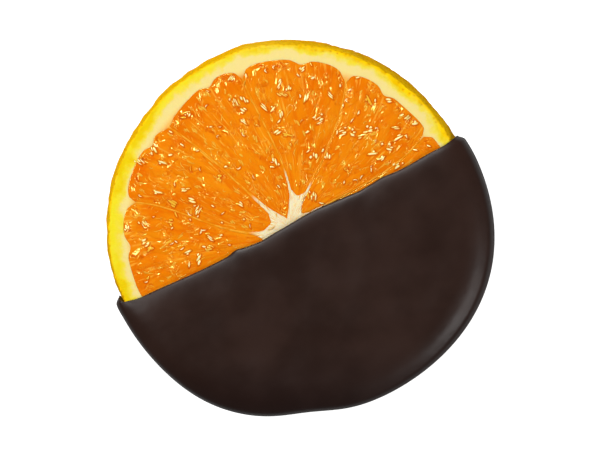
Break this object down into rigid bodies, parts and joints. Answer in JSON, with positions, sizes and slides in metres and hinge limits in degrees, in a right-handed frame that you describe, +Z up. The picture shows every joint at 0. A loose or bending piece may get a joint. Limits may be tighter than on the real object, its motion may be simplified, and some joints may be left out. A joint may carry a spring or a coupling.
{
  "type": "candied orange slice",
  "caption": "Round slice of candied orange lying flat, dipped in dark chocolate along one side, with juicy segments, thin walls, white pith and yellow rind on the bare side.",
  "frame": {"origin": "middle of the slice, on the flat underside of the chocolate that it rests on", "axes": "+X along the edge of the chocolate, the slice's longest way; +Y towards the bare fruit; +Z up, out of the cut face"},
  "size_m": [0.0747, 0.0735, 0.0082],
  "materials": {
    "peel": "satin",
    "flesh": "gloss",
    "chocolate": "satin"
  },
  "bodies": {
    "root": {"peel_and_core": "peel", "segment_01": "flesh", "segment_02": "flesh", "segment_03": "flesh", "segment_04": "flesh", "segment_05": "flesh", "segment_06": "flesh", "segment_07": "flesh", "segment_08": "flesh", "segment_09": "flesh", "segment_10": "flesh", "chocolate_coat": "chocolate"}
  },
  "joints": []
}
